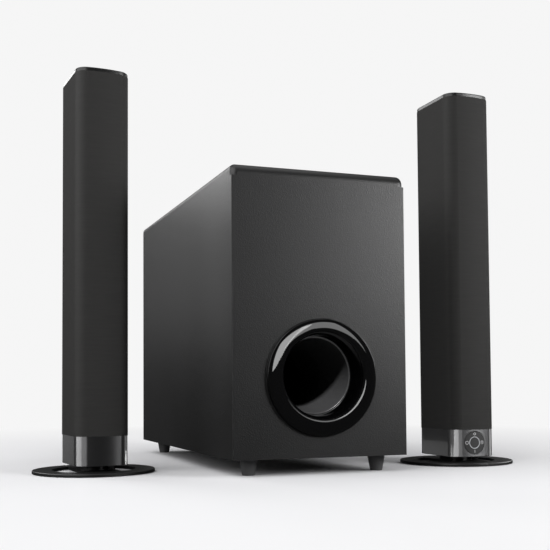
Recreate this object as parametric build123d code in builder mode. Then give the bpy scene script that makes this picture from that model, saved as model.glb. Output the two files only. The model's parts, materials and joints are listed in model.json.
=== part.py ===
"""Desktop speaker set: a ported subwoofer and two slim satellite columns on ring stands.

Frame: millimetres, +Z up, the fronts face -Y, +X is the listener's right.
The origin is on the floor, under the middle of the whole set.
"""

import os
from math import cos, radians, sin

from build123d import *

os.makedirs("parts", exist_ok=True)

# ---------------------------------------------------------------- driving dimensions

# Subwoofer cabinet
CABINET_X = 4.9          # cabinet centre, across
CABINET_Y = -3.5         # cabinet centre, front to back
CABINET_W = 186.0
CABINET_D = 397.0
CABINET_TOP = 302.7
FOOT_H = 16.5
FOOT_INSET = 23.5
FOOT_R = 9.2             # where the foot meets the cabinet
FOOT_TIP_R = 6.2
FOOT_RECESS_R = 4.2
FOOT_RECESS = 9.0
BOARD = 12.0             # side, top, bottom and rear boards
BAFFLE = 15.0            # front board
TOP_FRONT_ROUND = 9.5
TOP_SIDE_ROUND = 6.0
EDGE_ROUND = 1.0

CABINET_FRONT = CABINET_Y - CABINET_D / 2
CABINET_REAR = CABINET_Y + CABINET_D / 2
CABINET_RIGHT = CABINET_X + CABINET_W / 2
INNER_W = CABINET_W - 2 * BOARD
INNER_FLOOR = FOOT_H + BOARD
INNER_TOP = CABINET_TOP - BOARD
INNER_H = INNER_TOP - INNER_FLOOR

# Bass reflex port: radii, and depths behind the cabinet front
PORT_Z = 95.5
PORT_FLANGE_R = 58.4
PORT_EDGE = 1.0          # height of the ring's straight edge
PORT_CREST_R = 48.5
PORT_PROUD = 7.0         # the crest, in front of the cabinet
PORT_HOLE_R = 53.4
PORT_RISE = 2.0          # the throat and tube sit this far above the ring's centre
PORT_LAND = 0.6          # width of the crest where the bell comes nearest to the roll
PORT_THROAT_R = 40.0
PORT_THROAT_DEPTH = 8.0
PORT_NECK_R = 38.9       # the tapered neck between the throat and the tube
PORT_NECK_DEPTH = 19.0
PORT_SLEEVE_R = 42.4
PORT_SLEEVE_DEPTH = 30.0
PORT_MOUTH_R = 37.4
PORT_LIP = 1.2           # radius of the tube's rounded lip
PORT_BORE_R = 30.0
PORT_TAPER_DEPTH = 78.0
PORT_TUBE_DEPTH = 138.0
PORT_WALL = 2.2

# Woofer, in the right side board: radii, and heights along its axis from the board's face
WOOFER_Y = 28.0
WOOFER_Z = 166.0
WOOFER_CUTOUT_R = 71.0
WOOFER_FLANGE_R = 80.0
WOOFER_FLANGE = 3.0
WOOFER_SCREW_PCR = 75.5
WOOFER_SCREWS = 8
WOOFER_SCREW_TURN = 22.5
BASKET_R = 70.4          # under the flange
BASKET_WALL = 2.0
SURROUND_SEAT_R = 69.2
SURROUND_SEAT = -3.2     # height of the ledge that the surround is glued to
SURROUND_R = 67.3        # outside of the half roll
SPIDER_SEAT = -42.5
SPIDER_SEAT_R = 44.2
BASKET_REAR = -50.0      # the magnet's seat
BASKET_REAR_R = 46.0
BASKET_WINDOWS = 6
CONE_R = 57.5
CONE_RIM = -5.0
CONE_NECK = -31.0
COIL_R = 17.2
COIL_WALL = 0.8
COIL_GAP = 0.7
COIL_REAR = -60.0
CAP_R = 24.0
CAP_DOME_R = 36.5
CAP_TOP = -16.0
MAGNET_R = 42.0
POLE_PLATE_R = 38.0
POLE_PLATE_T = 5.0
MAGNET_REAR = -75.0

# Amplifier plate, on the rear board; places are from the plate's centre
PLATE_W = 150.0
PLATE_H = 200.0
PLATE_T = 2.0
PLATE_Z = 159.6
PLATE_SCREW_INSET = 4.0
CUTOUT_MARGIN = 8.0
KNOB_R = 9.0
KNOB_H = 11.5
KNOB_Z = 50.0
KNOB_X = 34.0
SHAFT_R = 3.0
HEATSINK_W = 112.0
HEATSINK_H = 52.0
HEATSINK_Z = -8.0
HEATSINK_BASE = 3.0
FINS = 13
FIN_PITCH = 8.6
FIN_T = 2.0
FIN_H = 8.5
INLET_X = -30.0
INLET_Z = -68.0
INLET_W = 54.0
INLET_H = 28.0
BEZEL_T = 2.4
INLET_BODY_W = 47.6
INLET_BODY_H = 22.6
INLET_BODY_DEPTH = 18.0
APPLIANCE_X = INLET_X - 9.0
APPLIANCE_DEPTH = 17.0
ROCKER_X = INLET_X + 15.5
ROCKER_BAY_W = 12.0
ROCKER_BAY_H = 21.0
ROCKER_DEPTH = 1.6       # its pivot, behind the plate's face
ROCKER_TILT = 8.0        # each way from level
ROCKER_PIN_R = 1.2
SOCKETS_X = 34.0
SOCKETS_Z = -68.0
PHONO_PITCH = 13.0
PHONO_R = 4.15
PHONO_BORE_R = 1.7
PHONO_PROUD = 8.0
BOARD_SETBACK = 16.0     # the amplifier board, behind the rear board's face
BOARD_T = 1.6            # both circuit boards

# Satellite columns
COLUMN_W = 55.0
COLUMN_FRONT = -41.1     # from the column's axis
COLUMN_BACK = 39.2
COLUMN_FRONT_R = 13.0
COLUMN_BACK_R = 15.0
COLUMN_BOW_R = 105.0     # the front's gentle outward bow
COLUMN_FOOT = 9.0
BAND_TOP = 38.5
SLEEVE_TOP = 405.0
COLUMN_TOP = 409.0
SLEEVE_WALL = 1.3
SHELL_INSET = 1.5
SHELL_WALL = 2.6
BAND_INSET = 0.4
BAND_WALL = 2.6
DRIVER_HEIGHTS = (110.0, 222.0, 334.0)
DRIVER_R = 20.5
DRIVER_CONE_R = 12.6
DRIVER_PLANE = -33.0     # the baffle's rear face, from the column's axis
DRIVER_HOLE_R = 16.6
BAFFLE_LOW = 54.0
BAFFLE_HIGH = 390.0
WINDOW_W = 32.0          # opening in the shell's front
WINDOW_H = 330.0
SOCKET_Z = 24.0          # signal socket in the back of the band
SOCKET_R = 4.6

# Ring stands
RING_R = 62.2
RING_HOLE_R = 42.5
RING_TOP = 3.4
PAD_H = 0.6
BRIDGE_W = 36.0
HUB_R = 18.0
HUB_TOP = 8.7
SPIGOT_W = 24.0
SPIGOT_D = 16.0
SPIGOT_TOP = 28.0
SCREW_X = 14.0
SCREW_Y = -17.0
SCREW_HEAD_R = 3.5

# Control pad, on the right column's foot band
PAD_X = -1.5
PAD_Z = 24.3
PAD_R = 12.3
PAD_GAP = 0.5
LIGHT_RING_R = 6.6
BUTTON_R = 5.55
PAD_T = 3.0
GIMBAL_DEPTH = 4.8       # the pad's tilt axes, behind the column's front
GIMBAL_PIN_R = 0.7
GIMBAL_HOLE_R = 0.75
GIMBAL_R = 10.4
GIMBAL_HOLE_SPAN = 13.0
CONTROL_BOARD_DEPTH = 10.8

CLEARANCE = 0.3          # between pieces that move past each other


def column_base(place_x, place_y, turn):
    """Floor plane under a column, turned with it about the vertical."""
    return Plane(origin=(place_x, place_y, 0),
                 x_dir=(cos(radians(turn)), sin(radians(turn)), 0), z_dir=(0, 0, 1))


COLUMNS = {
    "left": column_base(-198.6, -78.4, 5.0),
    "right": column_base(198.6, -129.9, 1.0),
}


def facing(base, across, depth, height):
    """Upright plane of a column that looks out of its front."""
    origin = base.from_local_coords(Vector(across, depth, height))
    return Plane(origin=origin, x_dir=base.x_dir, z_dir=-base.y_dir)


def looking_back(base, across, depth, height):
    """Upright plane of a column that looks out of its back."""
    origin = base.from_local_coords(Vector(across, depth, height))
    return Plane(origin=origin, x_dir=-base.x_dir, z_dir=base.y_dir)


def turning(base):
    """Plane for a turned outline: its x is the radius, its y runs along the base's normal."""
    return Plane(origin=base.origin, x_dir=base.x_dir, z_dir=-base.y_dir)


def turned(base, *points):
    """Revolve a closed outline of (radius, height) corners about the base's normal."""
    with BuildPart(mode=Mode.PRIVATE) as piece:
        with BuildSketch(turning(base)):
            with BuildLine():
                Polyline(*points, close=True)
            make_face()
        revolve(axis=Axis(base.origin, base.z_dir))
    return piece.part


def save(piece, name):
    """Label a finished piece and write it out."""
    piece.part.label = name
    export_step(piece.part, f"parts/{name}.step")


# ---------------------------------------------------------------- planes of the subwoofer

PORT = Plane(origin=(CABINET_X, CABINET_FRONT, PORT_Z), x_dir=(1, 0, 0), z_dir=(0, -1, 0))
THROAT = Plane(origin=(CABINET_X, CABINET_FRONT, PORT_Z + PORT_RISE),
               x_dir=(1, 0, 0), z_dir=(0, -1, 0))
WOOFER = Plane(origin=(CABINET_RIGHT, WOOFER_Y, WOOFER_Z), x_dir=(0, 1, 0), z_dir=(1, 0, 0))
REAR = Plane(origin=(CABINET_X, CABINET_REAR, PLATE_Z), x_dir=(-1, 0, 0), z_dir=(0, 1, 0))
PLATE = REAR.offset(PLATE_T)


# ---------------------------------------------------------------- cabinet boards

def make_cabinet_top():
    """Top board: large round along the front, smaller ones along the sides."""
    with BuildPart() as top:
        with BuildSketch(Plane.XY.offset(INNER_TOP)):
            with Locations((CABINET_X, CABINET_Y)):
                Rectangle(CABINET_W, CABINET_D)
        extrude(amount=BOARD)
        fillet(top.faces().sort_by(Axis.Z)[-1].edges().sort_by(Axis.Y)[0], TOP_FRONT_ROUND)
        upper = top.faces().sort_by(Axis.Z)[-1].edges()
        fillet(upper.filter_by(Axis.Y), TOP_SIDE_ROUND)
        fillet(top.edges().filter_by(Axis.Z).group_by(Axis.Y)[-1], EDGE_ROUND)
    save(top, "cabinet_top")


def make_cabinet_bottom():
    """Bottom board, with pilot holes for the foot screws."""
    with BuildPart() as bottom:
        with BuildSketch(Plane.XY.offset(FOOT_H)):
            with Locations((CABINET_X, CABINET_Y)):
                Rectangle(CABINET_W, CABINET_D)
        extrude(amount=BOARD)
        fillet(bottom.edges().filter_by(Axis.Z), EDGE_ROUND)
        with BuildSketch(Plane.XY.offset(FOOT_H)):
            with Locations((CABINET_X, CABINET_Y)):
                with GridLocations(CABINET_W - 2 * FOOT_INSET, CABINET_D - 2 * FOOT_INSET, 2, 2):
                    Circle(1.8)
        extrude(amount=BOARD - 2, mode=Mode.SUBTRACT)
    save(bottom, "cabinet_bottom")


def side_board(sign):
    """Upright side board; its outer corners are just broken."""
    with BuildPart(mode=Mode.PRIVATE) as board:
        with BuildSketch(Plane.XY.offset(INNER_FLOOR)):
            with Locations((CABINET_X + sign * (CABINET_W - BOARD) / 2, CABINET_Y)):
                Rectangle(BOARD, CABINET_D)
        extrude(amount=INNER_H)
        outer = board.edges().filter_by(Axis.Z).group_by(Axis.X)[-1 if sign > 0 else 0]
        fillet(outer, EDGE_ROUND)
    return board.part


def make_cabinet_left():
    with BuildPart() as left:
        add(side_board(-1))
    save(left, "cabinet_left")


def make_cabinet_right():
    """Right side board, with the woofer's cut-out and pilot holes."""
    with BuildPart() as right:
        add(side_board(1))
        with BuildSketch(WOOFER):
            Circle(WOOFER_CUTOUT_R)
            with woofer_screw_places():
                Circle(1.6)
        extrude(amount=-BOARD, mode=Mode.SUBTRACT)
    save(right, "cabinet_right")


def make_front_baffle():
    """Front board between the sides, with the port's hole."""
    with BuildPart() as baffle:
        with BuildSketch(Plane((CABINET_X, CABINET_FRONT, 0), x_dir=(1, 0, 0), z_dir=(0, -1, 0))):
            with Locations((0, INNER_FLOOR + INNER_H / 2)):
                Rectangle(INNER_W, INNER_H)
            with Locations((0, PORT_Z)):
                Circle(PORT_HOLE_R, mode=Mode.SUBTRACT)
        extrude(amount=-BAFFLE)
    save(baffle, "front_baffle")


def make_rear_board():
    """Rear board, with the opening that the amplifier plate covers."""
    with BuildPart() as rear:
        with BuildSketch(Plane((CABINET_X, CABINET_REAR, 0), x_dir=(-1, 0, 0), z_dir=(0, 1, 0))):
            with Locations((0, INNER_FLOOR + INNER_H / 2)):
                Rectangle(INNER_W, INNER_H)
            with Locations((0, PLATE_Z)):
                Rectangle(PLATE_W - 2 * CUTOUT_MARGIN, PLATE_H - 2 * CUTOUT_MARGIN,
                          mode=Mode.SUBTRACT)
        extrude(amount=-BOARD)
        with BuildSketch(REAR):
            with Locations(*plate_screw_places()):
                Circle(1.7)
        extrude(amount=-8, mode=Mode.SUBTRACT)
    save(rear, "rear_board")


# ---------------------------------------------------------------- port

def make_port_flare():
    """Gloss ring of the port: a proud roll that turns in to the throat, and a rear sleeve."""
    spigot_r = PORT_HOLE_R - 0.4
    spigot_depth = 6
    roll_w = PORT_FLANGE_R - PORT_CREST_R
    bell_r = PORT_CREST_R - PORT_RISE - PORT_LAND
    with BuildPart() as flare:
        with BuildSketch(turning(PORT)):
            with BuildLine():
                Polyline((PORT_CREST_R, PORT_PROUD), (0, PORT_PROUD), (0, -spigot_depth),
                         (spigot_r, -spigot_depth), (spigot_r, 0), (PORT_FLANGE_R, 0),
                         (PORT_FLANGE_R, PORT_EDGE))
                EllipticalCenterArc((PORT_CREST_R, PORT_EDGE), roll_w, PORT_PROUD - PORT_EDGE,
                                    start_angle=0, arc_size=90)
            make_face()
        revolve(axis=Axis(PORT.origin, PORT.z_dir))
        with BuildSketch(THROAT.offset(-spigot_depth)):
            Circle(PORT_SLEEVE_R)
        extrude(amount=spigot_depth - PORT_SLEEVE_DEPTH)
        with BuildSketch(turning(THROAT)):
            with BuildLine():
                EllipticalCenterArc((bell_r, -PORT_THROAT_DEPTH), bell_r - PORT_THROAT_R,
                                    PORT_THROAT_DEPTH + PORT_PROUD, start_angle=90, arc_size=90)
                Polyline((PORT_THROAT_R, -PORT_THROAT_DEPTH), (PORT_NECK_R, -PORT_NECK_DEPTH),
                         (PORT_NECK_R, -PORT_SLEEVE_DEPTH), (0, -PORT_SLEEVE_DEPTH),
                         (0, PORT_PROUD), (bell_r, PORT_PROUD))
            make_face()
        revolve(axis=Axis(THROAT.origin, THROAT.z_dir), mode=Mode.SUBTRACT)
    save(flare, "port_flare")


def make_port_tube():
    """Tube behind the throat: a rounded lip, a taper, then a straight run."""
    outer_r = PORT_NECK_R - 0.2
    lip_y = -PORT_NECK_DEPTH - 0.2
    seat = 6
    with BuildPart() as tube:
        with BuildSketch(turning(THROAT)):
            with BuildLine():
                Polyline((PORT_MOUTH_R + PORT_LIP, lip_y), (outer_r, lip_y),
                         (outer_r, lip_y - seat),
                         (PORT_BORE_R + PORT_WALL, -PORT_TAPER_DEPTH),
                         (PORT_BORE_R + PORT_WALL, -PORT_TUBE_DEPTH),
                         (PORT_BORE_R, -PORT_TUBE_DEPTH), (PORT_BORE_R, -PORT_TAPER_DEPTH),
                         (PORT_MOUTH_R, lip_y - PORT_LIP))
                RadiusArc((PORT_MOUTH_R, lip_y - PORT_LIP), (PORT_MOUTH_R + PORT_LIP, lip_y),
                          PORT_LIP)
            make_face()
        revolve(axis=Axis(THROAT.origin, THROAT.z_dir))
    save(tube, "port_tube")


# ---------------------------------------------------------------- feet

def make_cabinet_feet():
    """Four conical feet with a recess for the screw."""
    upright = (Align.CENTER, Align.CENTER, Align.MIN)
    with BuildPart() as feet:
        with Locations((CABINET_X, CABINET_Y, 0)):
            with GridLocations(CABINET_W - 2 * FOOT_INSET, CABINET_D - 2 * FOOT_INSET, 2, 2):
                Cone(FOOT_TIP_R, FOOT_R, FOOT_H, align=upright)
                Cylinder(FOOT_RECESS_R, FOOT_RECESS, align=upright, mode=Mode.SUBTRACT)
                Cylinder(2.0, FOOT_H, align=upright, mode=Mode.SUBTRACT)
        rims = feet.edges().filter_by(GeomType.CIRCLE).group_by(Axis.Z)[0]
        fillet(rims.filter_by(lambda rim: rim.radius > FOOT_RECESS_R + 1), 0.6)
    save(feet, "cabinet_feet")


def make_foot_screws():
    """Pan-head screws that hold the feet to the bottom board."""
    head = 2.6
    slot_w = 0.9
    slot_len = 4.2
    upright = (Align.CENTER, Align.CENTER, Align.MIN)
    with BuildPart() as screws:
        with Locations((CABINET_X, CABINET_Y, FOOT_RECESS - head)):
            with GridLocations(CABINET_W - 2 * FOOT_INSET, CABINET_D - 2 * FOOT_INSET, 2, 2):
                Cylinder(3.6, head, align=upright)
                Cylinder(1.7, head + 16, align=upright)
                Box(slot_len, slot_w, head / 2, align=upright, mode=Mode.SUBTRACT)
                Box(slot_w, slot_len, head / 2, align=upright, mode=Mode.SUBTRACT)
    save(screws, "foot_screws")


# ---------------------------------------------------------------- woofer

def woofer_screw_places():
    """Screw circle in the woofer's flange."""
    return PolarLocations(WOOFER_SCREW_PCR, WOOFER_SCREWS, start_angle=WOOFER_SCREW_TURN)


def make_woofer_frame():
    """Pressed frame: flange, surround ledge, windowed basket, spider ledge and bottom ring."""
    shelf = BASKET_REAR + BASKET_WALL
    with BuildPart() as frame:
        add(turned(WOOFER,
                   (WOOFER_FLANGE_R, 0), (WOOFER_FLANGE_R, WOOFER_FLANGE - 1),
                   (WOOFER_FLANGE_R - 1, WOOFER_FLANGE), (SURROUND_SEAT_R + 0.8, WOOFER_FLANGE),
                   (SURROUND_SEAT_R, WOOFER_FLANGE - 0.8), (SURROUND_SEAT_R, SURROUND_SEAT),
                   (SURROUND_R, SURROUND_SEAT), (SURROUND_R, SURROUND_SEAT - 2.8),
                   (SPIDER_SEAT_R, SPIDER_SEAT), (POLE_PLATE_R + 2, SPIDER_SEAT),
                   (POLE_PLATE_R + 2, shelf), (COIL_R + 1.8, shelf), (COIL_R + 1.8, BASKET_REAR),
                   (BASKET_REAR_R, BASKET_REAR), (BASKET_REAR_R, SPIDER_SEAT - 1),
                   (BASKET_R, SURROUND_SEAT - 2.8), (BASKET_R, 0)))
        with BuildSketch(WOOFER.offset(SPIDER_SEAT + 4.5)):
            with PolarLocations(58, BASKET_WINDOWS):
                Rectangle(40, 34)
        extrude(amount=28, mode=Mode.SUBTRACT)
        with BuildSketch(WOOFER):
            with woofer_screw_places():
                Circle(2.2)
        extrude(amount=WOOFER_FLANGE, mode=Mode.SUBTRACT)
    save(frame, "woofer_frame")


def make_woofer_magnet():
    """Magnet system: top plate, ring magnet, back plate and pole, with the coil's gap."""
    top = BASKET_REAR - POLE_PLATE_T
    rear = MAGNET_REAR + POLE_PLATE_T
    gap_r = COIL_R + COIL_GAP
    pole_r = COIL_R - 1.6
    with BuildPart() as magnet:
        add(turned(WOOFER, (gap_r, BASKET_REAR), (POLE_PLATE_R, BASKET_REAR), (POLE_PLATE_R, top),
                   (MAGNET_R, top), (MAGNET_R, rear), (POLE_PLATE_R, rear),
                   (POLE_PLATE_R, MAGNET_REAR), (0, MAGNET_REAR), (0, BASKET_REAR + 1),
                   (pole_r, BASKET_REAR + 1), (pole_r, rear), (COIL_R + 3, rear),
                   (COIL_R + 3, top), (gap_r, top)))
    save(magnet, "woofer_magnet")


def make_woofer_cone():
    """Paper cone with a flat rim for the surround."""
    paper = 0.8
    with BuildPart() as cone:
        add(turned(WOOFER, (COIL_R, CONE_NECK), (CONE_R - 3.5, CONE_RIM), (CONE_R, CONE_RIM),
                   (CONE_R, CONE_RIM + paper), (CONE_R - 4, CONE_RIM + paper),
                   (COIL_R, CONE_NECK + 1)))
    save(cone, "woofer_cone")


def make_woofer_dust_cap():
    """Domed cap over the middle of the cone."""
    with BuildPart() as cap:
        with BuildSketch(turning(WOOFER)):
            with Locations((0, CAP_TOP - CAP_DOME_R)):
                Circle(CAP_DOME_R)
                Circle(CAP_DOME_R - 1, mode=Mode.SUBTRACT)
            with Locations((CAP_R / 2, CAP_TOP - 4)):
                Rectangle(CAP_R, 10, mode=Mode.INTERSECT)
        revolve(axis=Axis(WOOFER.origin, WOOFER.z_dir))
    save(cap, "woofer_dust_cap")


def make_woofer_voice_coil():
    """Coil former, with its winding in the magnet's gap."""
    inner = COIL_R - COIL_WALL
    with BuildPart() as coil:
        add(turned(WOOFER, (inner, CONE_NECK + 0.5), (COIL_R - 0.05, CONE_NECK + 0.5),
                   (COIL_R - 0.05, BASKET_REAR), (COIL_R + 0.25, BASKET_REAR),
                   (COIL_R + 0.25, COIL_REAR), (inner, COIL_REAR)))
    save(coil, "woofer_voice_coil")


def make_woofer_surround():
    """Half-roll rubber surround between the cone's rim and the frame's ledge."""
    roll_in = CONE_R + CLEARANCE
    middle = (roll_in + SURROUND_R) / 2
    roll = (SURROUND_R - roll_in) / 2
    skin = 1.0
    inner_lip = CONE_R - 3.6
    outer_lip = SURROUND_SEAT_R - 0.1
    with BuildPart() as surround:
        with BuildSketch(turning(WOOFER)):
            with Locations((middle, SURROUND_SEAT)):
                Circle(roll)
                Circle(roll - skin, mode=Mode.SUBTRACT)
                with Locations((0, -roll)):
                    Rectangle(4 * roll, 2 * roll, mode=Mode.SUBTRACT)
            with Locations(((inner_lip + roll_in + skin) / 2, SURROUND_SEAT - skin / 2)):
                Rectangle(roll_in + skin - inner_lip, skin)
            with Locations(((SURROUND_R - skin + outer_lip) / 2, SURROUND_SEAT + skin / 2)):
                Rectangle(outer_lip - SURROUND_R + skin, skin)
        revolve(axis=Axis(WOOFER.origin, WOOFER.z_dir))
    save(surround, "woofer_surround")


def make_woofer_spider():
    """Corrugated centring disc, glued to the former and to its ledge in the frame."""
    waves = 5
    wave_h = 0.9
    flat_r = 39
    height = SPIDER_SEAT + 0.5
    pitch = (flat_r - COIL_R - 0.4) / waves
    crests = [(COIL_R + 0.3 + pitch * (i / 2), height + (wave_h if i % 2 else -wave_h))
              for i in range(1, 2 * waves)]
    upper = [(COIL_R + 0.1, height)] + crests + [(flat_r, height), (SPIDER_SEAT_R - 0.7, height)]
    lower = [(radius, level - 0.5) for radius, level in reversed(upper)]
    with BuildPart() as spider:
        add(turned(WOOFER, *upper, *lower))
    save(spider, "woofer_spider")


def make_woofer_screws():
    """Socket-head screws round the woofer's flange."""
    head = 2.2
    with BuildPart() as screws:
        with BuildSketch(WOOFER.offset(WOOFER_FLANGE)):
            with woofer_screw_places():
                Circle(3.4)
        extrude(amount=head)
        fillet(screws.edges().filter_by(GeomType.CIRCLE).group_by(Axis.X)[-1], 0.7)
        with BuildSketch(WOOFER.offset(WOOFER_FLANGE)):
            with woofer_screw_places():
                Circle(1.5)
        extrude(amount=-WOOFER_FLANGE - 10)
        with BuildSketch(WOOFER.offset(WOOFER_FLANGE + head)):
            with woofer_screw_places():
                RegularPolygon(1.6, 6)
        extrude(amount=-1.4, mode=Mode.SUBTRACT)
    save(screws, "woofer_screws")


# ---------------------------------------------------------------- amplifier

def plate_screw_places():
    """Corners and mid-sides of the amplifier plate."""
    reach_x = PLATE_W / 2 - PLATE_SCREW_INSET
    reach_z = PLATE_H / 2 - PLATE_SCREW_INSET
    return [(sx * reach_x, sz * reach_z) for sx in (-1, 1) for sz in (-1, 0, 1)]


def make_amp_plate():
    """Steel plate that closes the rear opening, cut for its controls and sockets."""
    with BuildPart() as plate:
        with BuildSketch(REAR):
            RectangleRounded(PLATE_W, PLATE_H, 4)
            with Locations(*plate_screw_places()):
                Circle(1.8, mode=Mode.SUBTRACT)
            with Locations((-KNOB_X, KNOB_Z), (KNOB_X, KNOB_Z)):
                Circle(SHAFT_R + 0.1, mode=Mode.SUBTRACT)
            with Locations((INLET_X, INLET_Z)):
                Rectangle(INLET_BODY_W + 0.4, INLET_BODY_H + 0.4, mode=Mode.SUBTRACT)
            with Locations((SOCKETS_X, SOCKETS_Z)):
                with GridLocations(PHONO_PITCH, PHONO_PITCH, 3, 2):
                    Circle(PHONO_R + 0.15, mode=Mode.SUBTRACT)
        extrude(amount=PLATE_T)
        outer = plate.faces().sort_by(Axis.Y)[-1].outer_wire().edges()
        chamfer(outer, 0.4)
    save(plate, "amp_plate")


def make_plate_screws():
    """Cross-slotted screws round the amplifier plate."""
    head = 1.4
    with BuildPart() as screws:
        with BuildSketch(PLATE):
            with Locations(*plate_screw_places()):
                Circle(3.0)
        extrude(amount=head)
        fillet(screws.edges().filter_by(GeomType.CIRCLE).group_by(Axis.Y)[-1], 0.6)
        with BuildSketch(PLATE):
            with Locations(*plate_screw_places()):
                Circle(1.6)
        extrude(amount=-PLATE_T - 5)
        with BuildSketch(PLATE.offset(head)):
            with Locations(*plate_screw_places()):
                Rectangle(3.6, 0.8)
                Rectangle(0.8, 3.6)
        extrude(amount=-0.9, mode=Mode.SUBTRACT)
    save(screws, "plate_screws")


def make_amp_board():
    """Amplifier circuit board on the plate's inside, with its pots and capacitors."""
    board_face = REAR.offset(-BOARD_SETBACK)
    with BuildPart() as board:
        with BuildSketch(board_face):
            with Locations((0, 22)):
                Rectangle(120, 120)
        extrude(amount=BOARD_T)
        with BuildSketch(board_face.offset(BOARD_T)):
            with Locations((-KNOB_X, KNOB_Z), (KNOB_X, KNOB_Z)):
                RectangleRounded(15, 17, 2)
        extrude(amount=6)
        with BuildSketch(board_face):
            with Locations((-35, 10), (-10, 10), (15, 10)):
                Circle(9)
            with Locations((42, 0), (42, 26)):
                Circle(6)
        extrude(amount=-30)
        with BuildSketch(board_face):
            with Locations((0, 62)):
                Rectangle(80, 12)
        extrude(amount=-14)
    save(board, "amp_board")


def make_amp_heatsink():
    """Finned heat sink on the outside of the plate."""
    with BuildPart() as sink:
        with BuildSketch(PLATE):
            with Locations((0, HEATSINK_Z)):
                RectangleRounded(HEATSINK_W, HEATSINK_H, 1.5)
        extrude(amount=HEATSINK_BASE)
        with BuildSketch(PLATE.offset(HEATSINK_BASE)):
            with Locations((0, HEATSINK_Z)):
                with GridLocations(FIN_PITCH, 0, FINS, 1):
                    Rectangle(FIN_T, HEATSINK_H - 2)
        extrude(amount=FIN_H)
    save(sink, "amp_heatsink")


def make_amp_transformer():
    """Mains transformer: laminated core, bobbin windings and mounting feet, on the floor."""
    base = Plane(origin=(CABINET_X + 28, CABINET_REAR - 72, INNER_FLOOR), z_dir=(0, 0, 1))
    foot_t = 2
    core_h = 48
    with BuildPart() as transformer:
        with BuildSketch(base):
            Rectangle(78, 26)
        extrude(amount=foot_t)
        with BuildSketch(base.offset(foot_t)):
            Rectangle(57, 24)
        extrude(amount=core_h)
        with BuildSketch(base.offset(foot_t + 9)):
            RectangleRounded(36, 46, 6)
        extrude(amount=core_h - 18)
    save(transformer, "amp_transformer")


def make_audio_sockets():
    """Block of six phono sockets: barrels through the plate, joined by an inner moulding."""
    block = 8.8
    overlap = 0.2
    with BuildPart() as sockets:
        with BuildSketch(REAR.offset(-block - overlap)):
            with Locations((SOCKETS_X, SOCKETS_Z)):
                Rectangle(42, 26)
        extrude(amount=block)
        with BuildSketch(REAR.offset(-overlap)):
            with Locations((SOCKETS_X, SOCKETS_Z)):
                with GridLocations(PHONO_PITCH, PHONO_PITCH, 3, 2):
                    Circle(PHONO_R)
        extrude(amount=PLATE_T + PHONO_PROUD)
        with BuildSketch(PLATE):
            with Locations((SOCKETS_X, SOCKETS_Z)):
                with GridLocations(PHONO_PITCH, PHONO_PITCH, 3, 2):
                    Circle(PHONO_R + 1.45)
        extrude(amount=1.2)
        with BuildSketch(PLATE.offset(PHONO_PROUD - overlap)):
            with Locations((SOCKETS_X, SOCKETS_Z)):
                with GridLocations(PHONO_PITCH, PHONO_PITCH, 3, 2):
                    Circle(PHONO_BORE_R)
        extrude(amount=-12, mode=Mode.SUBTRACT)
    save(sockets, "audio_sockets")


def make_mains_inlet():
    """Power entry: a bezel over the plate, an appliance inlet with three pins, a rocker bay."""
    pin_gap = 7
    pin_z = INLET_Z - 1.5
    with BuildPart() as inlet:
        with BuildSketch(PLATE):
            with Locations((INLET_X, INLET_Z)):
                RectangleRounded(INLET_W, INLET_H, 2)
        extrude(amount=BEZEL_T)
        fillet(inlet.faces().sort_by(Axis.Y)[-1].outer_wire().edges(), 0.8)
        with BuildSketch(PLATE):
            with Locations((INLET_X, INLET_Z)):
                Rectangle(INLET_BODY_W, INLET_BODY_H)
        extrude(amount=-INLET_BODY_DEPTH)
        with BuildSketch(PLATE.offset(BEZEL_T)):
            with Locations((APPLIANCE_X, INLET_Z)):
                RectangleRounded(25, 17, 2)
        extrude(amount=-APPLIANCE_DEPTH, mode=Mode.SUBTRACT)
        with BuildSketch(PLATE.offset(BEZEL_T)):
            with Locations((ROCKER_X, INLET_Z)):
                Rectangle(ROCKER_BAY_W, ROCKER_BAY_H)
        extrude(amount=-BEZEL_T - 9.6, mode=Mode.SUBTRACT)
        with BuildSketch(PLATE.offset(BEZEL_T - APPLIANCE_DEPTH)):
            with Locations((APPLIANCE_X - pin_gap, pin_z), (APPLIANCE_X, pin_z + 4),
                           (APPLIANCE_X + pin_gap, pin_z)):
                Rectangle(2, 4)
        extrude(amount=9.5)
        with BuildSketch(rocker_axis().offset(-7)):
            Circle(ROCKER_PIN_R + 0.05)
        extrude(amount=14, mode=Mode.SUBTRACT)
    save(inlet, "mains_inlet")


def rocker_axis(tilt=0.0):
    """Plane across the rocker's pivot: its normal is the axis the rocker turns on."""
    origin = PLATE.from_local_coords(Vector(ROCKER_X, INLET_Z, -ROCKER_DEPTH))
    return Plane(origin=origin, x_dir=(0, cos(radians(tilt)), -sin(radians(tilt))),
                 z_dir=(-1, 0, 0))


def make_power_rocker():
    """Rocker of the mains switch, lying in its off position on two small trunnions."""
    body_w = ROCKER_BAY_W - 0.8
    with BuildPart() as rocker:
        with BuildSketch(rocker_axis(ROCKER_TILT).offset(-body_w / 2)):
            with BuildLine():
                ThreePointArc((5.0, -8.4), (3.7, 0), (5.0, 8.4))
                Polyline((5.0, 8.4), (-3.5, 7.8), (-3.5, -7.8), (5.0, -8.4))
            make_face()
        extrude(amount=body_w)
        with BuildSketch(rocker_axis().offset(-body_w / 2 - 1.2)):
            Circle(ROCKER_PIN_R)
        extrude(amount=body_w + 2.4)
    save(rocker, "power_rocker")


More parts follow.
